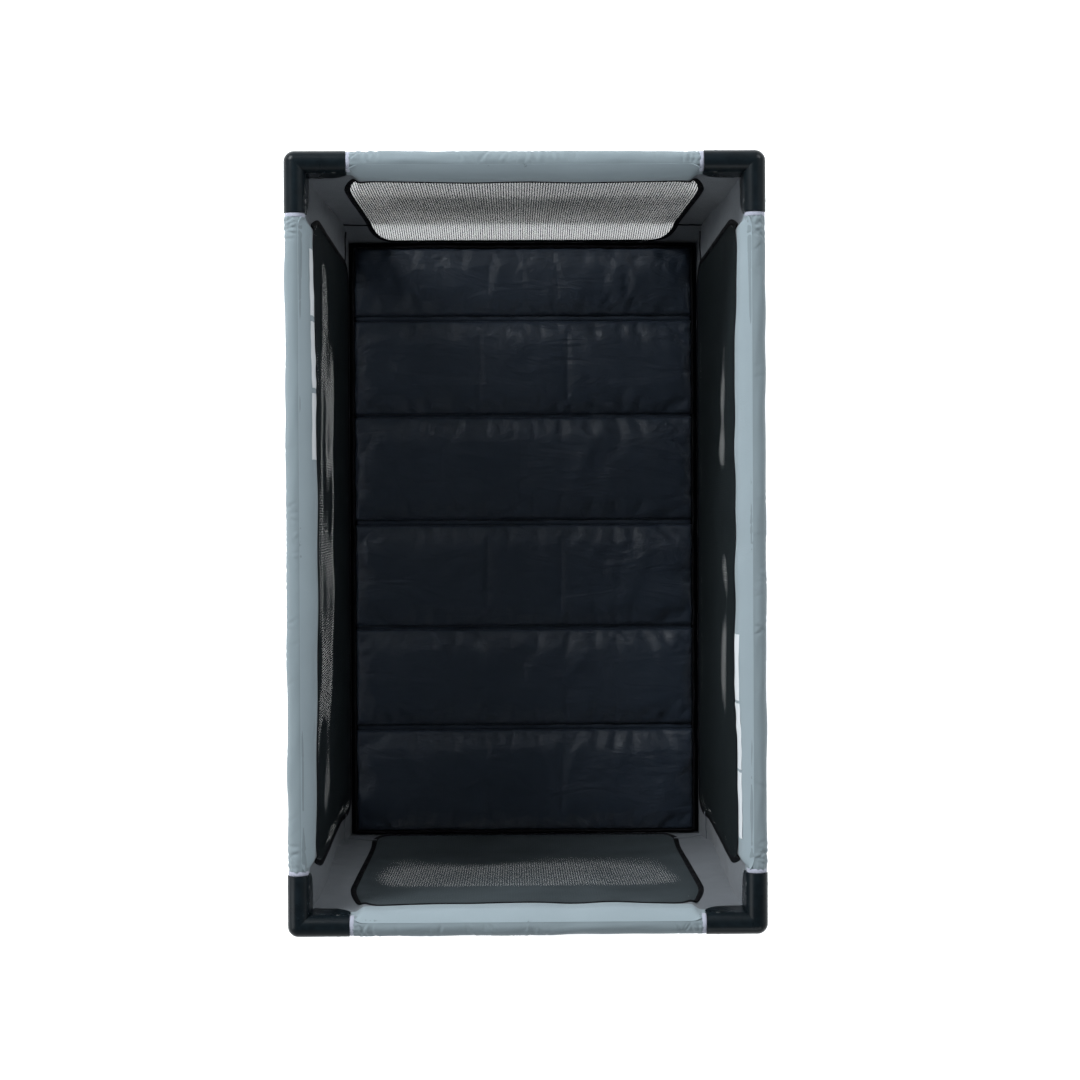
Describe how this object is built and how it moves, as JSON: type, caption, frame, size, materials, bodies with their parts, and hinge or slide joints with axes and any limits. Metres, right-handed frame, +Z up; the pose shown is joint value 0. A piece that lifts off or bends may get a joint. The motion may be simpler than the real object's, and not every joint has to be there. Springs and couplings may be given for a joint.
{
  "type": "folding playpen",
  "caption": "Rectangular folding playpen with padded rim rails, mesh walls, moulded corner caps, a hub-and-arm base and a quilted folding mattress.",
  "frame": {"origin": "on the floor under the middle of the pen", "axes": "+Z up out of the open top, +Y along the long side from front to back, +X across to the right"},
  "size_m": [0.638, 1.041, 0.75],
  "materials": {
    "cap_plastic": "satin moulded black, soft gloss along edges",
    "steel_tube": "powder coated grey",
    "base_tube": "powder coated black",
    "rivet_steel": "zinc plated",
    "base_plastic": "matt moulded black",
    "button_plastic": "satin red",
    "rubber_pad": "matt",
    "grey_fabric": "woven polyester, light cool grey",
    "black_mesh": "knitted netting with black binding",
    "strap_webbing": "woven webbing",
    "mattress_nylon": "smooth dark navy-black nylon"
  },
  "bodies": {
    "leg_front_left": {"leg_tube_front_left": "steel_tube", "foot_front_left": "base_plastic", "corner_cap_front_left": "cap_plastic", "pivot_rivets_front_left": "rivet_steel", "tub_fabric_front_left": "grey_fabric", "mesh_window_front_left": "black_mesh"},
    "arm_front_left": {"base_arm_front_left": "base_tube"},
    "leg_front_right": {"leg_tube_front_right": "steel_tube", "foot_front_right": "base_plastic", "corner_cap_front_right": "cap_plastic", "pivot_rivets_front_right": "rivet_steel", "tub_fabric_front_right": "grey_fabric", "mesh_window_front_right": "black_mesh"},
    "arm_front_right": {"base_arm_front_right": "base_tube"},
    "leg_back_left": {"leg_tube_back_left": "steel_tube", "foot_back_left": "base_plastic", "corner_cap_back_left": "cap_plastic", "pivot_rivets_back_left": "rivet_steel", "tub_fabric_back_left": "grey_fabric", "mesh_window_back_left": "black_mesh"},
    "arm_back_left": {"base_arm_back_left": "base_tube"},
    "leg_back_right": {"leg_tube_back_right": "steel_tube", "foot_back_right": "base_plastic", "corner_cap_back_right": "cap_plastic", "pivot_rivets_back_right": "rivet_steel", "tub_fabric_back_right": "grey_fabric", "mesh_window_back_right": "black_mesh"},
    "arm_back_right": {"base_arm_back_right": "base_tube"},
    "hub": {"hub_housing": "base_plastic", "hub_cover": "base_plastic", "hub_foot": "rubber_pad", "hub_pins": "rivet_steel", "pull_strap": "strap_webbing"},
    "front_rail_left": {"front_rail_left_tube": "steel_tube", "front_rail_left_sleeve": "grey_fabric"},
    "left_rail_front": {"left_rail_front_tube": "steel_tube", "left_rail_front_sleeve": "grey_fabric"},
    "front_rail_right": {"front_rail_right_tube": "steel_tube", "front_rail_right_sleeve": "grey_fabric"},
    "right_rail_front": {"right_rail_front_tube": "steel_tube", "right_rail_front_sleeve": "grey_fabric"},
    "back_rail_left": {"back_rail_left_tube": "steel_tube", "back_rail_left_sleeve": "grey_fabric"},
    "left_rail_back": {"left_rail_back_tube": "steel_tube", "left_rail_back_sleeve": "grey_fabric"},
    "back_rail_right": {"back_rail_right_tube": "steel_tube", "back_rail_right_sleeve": "grey_fabric"},
    "right_rail_back": {"right_rail_back_tube": "steel_tube", "right_rail_back_sleeve": "grey_fabric"},
    "front_latch": {"front_latch": "base_plastic"},
    "front_button": {"front_latch_button": "button_plastic"},
    "back_latch": {"back_latch": "base_plastic"},
    "back_button": {"back_latch_button": "button_plastic"},
    "left_latch": {"left_latch": "base_plastic"},
    "left_button": {"left_latch_button": "button_plastic"},
    "right_latch": {"right_latch": "base_plastic"},
    "right_button": {"right_latch_button": "button_plastic"},
    "mattress_middle": {"mattress_middle": "mattress_nylon"},
    "mattress_front": {"mattress_front": "mattress_nylon"},
    "mattress_back": {"mattress_back": "mattress_nylon"}
  },
  "joints": [
    {"name": "fold", "type": "hinge", "parent": "leg_front_left", "child": "arm_front_left", "pos_m": [-0.26067, -0.43317, 0.044], "axis": [0.8568, -0.5156, 0], "range_deg": [0, 82], "deforming": ["front_rail_left_sleeve", "front_rail_right_sleeve", "back_rail_left_sleeve", "back_rail_right_sleeve", "left_rail_front_sleeve", "left_rail_back_sleeve", "right_rail_front_sleeve", "right_rail_back_sleeve", "tub_fabric_front_left", "tub_fabric_front_right", "tub_fabric_back_left", "tub_fabric_back_right", "mesh_window_front_left", "mesh_window_front_right", "mesh_window_back_left", "mesh_window_back_right", "mattress_front", "mattress_middle", "mattress_back"]},
    {"name": "hub_level", "type": "hinge", "parent": "arm_front_left", "child": "hub", "pos_m": [-0.03352, -0.05569, 0.044], "axis": [-0.8568, 0.5156, 0], "range_deg": [0, 82]},
    {"name": "arm_swing_front_right", "type": "hinge", "parent": "hub", "child": "arm_front_right", "pos_m": [0.03352, -0.05569, 0.044], "axis": [0.8568, 0.5156, 0], "range_deg": [0, 82]},
    {"name": "leg_level_front_right", "type": "hinge", "parent": "arm_front_right", "child": "leg_front_right", "pos_m": [0.26067, -0.43317, 0.044], "axis": [-0.8568, -0.5156, 0], "range_deg": [0, 82]},
    {"name": "arm_swing_back_left", "type": "hinge", "parent": "hub", "child": "arm_back_left", "pos_m": [-0.03352, 0.05569, 0.044], "axis": [-0.8568, -0.5156, 0], "range_deg": [0, 82]},
    {"name": "leg_level_back_left", "type": "hinge", "parent": "arm_back_left", "child": "leg_back_left", "pos_m": [-0.26067, 0.43317, 0.044], "axis": [0.8568, 0.5156, 0], "range_deg": [0, 82]},
    {"name": "arm_swing_back_right", "type": "hinge", "parent": "hub", "child": "arm_back_right", "pos_m": [0.03352, 0.05569, 0.044], "axis": [-0.8568, 0.5156, 0], "range_deg": [0, 82]},
    {"name": "leg_level_back_right", "type": "hinge", "parent": "arm_back_right", "child": "leg_back_right", "pos_m": [0.26067, 0.43317, 0.044], "axis": [0.8568, -0.5156, 0], "range_deg": [0, 82]},
    {"name": "front_rail_left_drop", "type": "hinge", "parent": "leg_front_left", "child": "front_rail_left", "pos_m": [-0.2525, -0.506, 0.7355], "axis": [0, 1, 0], "range_deg": [0, 82]},
    {"name": "left_rail_front_drop", "type": "hinge", "parent": "leg_front_left", "child": "left_rail_front", "pos_m": [-0.3045, -0.454, 0.7355], "axis": [-1, 0, 0], "range_deg": [0, 82]},
    {"name": "front_rail_right_drop", "type": "hinge", "parent": "leg_front_right", "child": "front_rail_right", "pos_m": [0.2525, -0.506, 0.7355], "axis": [0, -1, 0], "range_deg": [0, 82]},
    {"name": "right_rail_front_drop", "type": "hinge", "parent": "leg_front_right", "child": "right_rail_front", "pos_m": [0.3045, -0.454, 0.7355], "axis": [-1, 0, 0], "range_deg": [0, 82]},
    {"name": "back_rail_left_drop", "type": "hinge", "parent": "leg_back_left", "child": "back_rail_left", "pos_m": [-0.2525, 0.506, 0.7355], "axis": [0, 1, 0], "range_deg": [0, 82]},
    {"name": "left_rail_back_drop", "type": "hinge", "parent": "leg_back_left", "child": "left_rail_back", "pos_m": [-0.3045, 0.454, 0.7355], "axis": [1, 0, 0], "range_deg": [0, 82]},
    {"name": "back_rail_right_drop", "type": "hinge", "parent": "leg_back_right", "child": "back_rail_right", "pos_m": [0.2525, 0.506, 0.7355], "axis": [0, -1, 0], "range_deg": [0, 82]},
    {"name": "right_rail_back_drop", "type": "hinge", "parent": "leg_back_right", "child": "right_rail_back", "pos_m": [0.3045, 0.454, 0.7355], "axis": [1, 0, 0], "range_deg": [0, 82]},
    {"name": "front_latch_level", "type": "hinge", "parent": "front_rail_left", "child": "front_latch", "pos_m": [-0.02534, -0.506, 0.7355], "axis": [0, -1, 0], "range_deg": [0, 82]},
    {"name": "front_button_press", "type": "slide", "parent": "front_latch", "child": "front_button", "axis": [0, 0, 1], "range_m": [0, 0.004], "stiffness_N_per_m": 400, "springref_m": -0.004},
    {"name": "back_latch_level", "type": "hinge", "parent": "back_rail_left", "child": "back_latch", "pos_m": [-0.02534, 0.506, 0.7355], "axis": [0, -1, 0], "range_deg": [0, 82]},
    {"name": "back_button_press", "type": "slide", "parent": "back_latch", "child": "back_button", "axis": [0, 0, 1], "range_m": [0, 0.004], "stiffness_N_per_m": 400, "springref_m": -0.004},
    {"name": "left_latch_level", "type": "hinge", "parent": "left_rail_front", "child": "left_latch", "pos_m": [-0.3045, -0.07652, 0.7355], "axis": [1, 0, 0], "range_deg": [0, 82]},
    {"name": "left_button_press", "type": "slide", "parent": "left_latch", "child": "left_button", "axis": [0, 0, 1], "range_m": [0, 0.004], "stiffness_N_per_m": 400, "springref_m": -0.004},
    {"name": "right_latch_level", "type": "hinge", "parent": "right_rail_front", "child": "right_latch", "pos_m": [0.3045, -0.07652, 0.7355], "axis": [1, 0, 0], "range_deg": [0, 82]},
    {"name": "right_button_press", "type": "slide", "parent": "right_latch", "child": "right_button", "axis": [0, 0, 1], "range_m": [0, 0.004], "stiffness_N_per_m": 400, "springref_m": -0.004},
    {"name": "mattress_lift", "type": "slide", "parent": "hub", "child": "mattress_middle", "axis": [0, 0, 1], "range_m": [0, 0.42]},
    {"name": "mattress_wrap", "type": "hinge", "parent": "mattress_middle", "child": "mattress_front", "pos_m": [0, -0.1465, 0.098], "axis": [-1, 0, 0], "range_deg": [0, 88]},
    {"name": "mattress_wrap_back", "type": "hinge", "parent": "mattress_middle", "child": "mattress_back", "pos_m": [0, 0.2015, 0.098], "axis": [1, 0, 0], "range_deg": [0, 88]}
  ],
  "couplings": [
    {"joint": "hub_level", "follows": "fold", "ratio": 1},
    {"joint": "arm_swing_front_right", "follows": "fold", "ratio": 1},
    {"joint": "leg_level_front_right", "follows": "fold", "ratio": 1},
    {"joint": "arm_swing_back_left", "follows": "fold", "ratio": 1},
    {"joint": "leg_level_back_left", "follows": "fold", "ratio": 1},
    {"joint": "arm_swing_back_right", "follows": "fold", "ratio": 1},
    {"joint": "leg_level_back_right", "follows": "fold", "ratio": 1},
    {"joint": "front_rail_left_drop", "follows": "fold", "ratio": 1},
    {"joint": "left_rail_front_drop", "follows": "fold", "ratio": 1},
    {"joint": "front_rail_right_drop", "follows": "fold", "ratio": 1},
    {"joint": "right_rail_front_drop", "follows": "fold", "ratio": 1},
    {"joint": "back_rail_left_drop", "follows": "fold", "ratio": 1},
    {"joint": "left_rail_back_drop", "follows": "fold", "ratio": 1},
    {"joint": "back_rail_right_drop", "follows": "fold", "ratio": 1},
    {"joint": "right_rail_back_drop", "follows": "fold", "ratio": 1},
    {"joint": "front_latch_level", "follows": "fold", "ratio": 1},
    {"joint": "back_latch_level", "follows": "fold", "ratio": 1},
    {"joint": "left_latch_level", "follows": "fold", "ratio": 1},
    {"joint": "right_latch_level", "follows": "fold", "ratio": 1},
    {"joint": "mattress_lift", "follows": "fold", "m_per_rad": 0.29},
    {"joint": "mattress_wrap_back", "follows": "mattress_wrap", "ratio": 1}
  ]
}
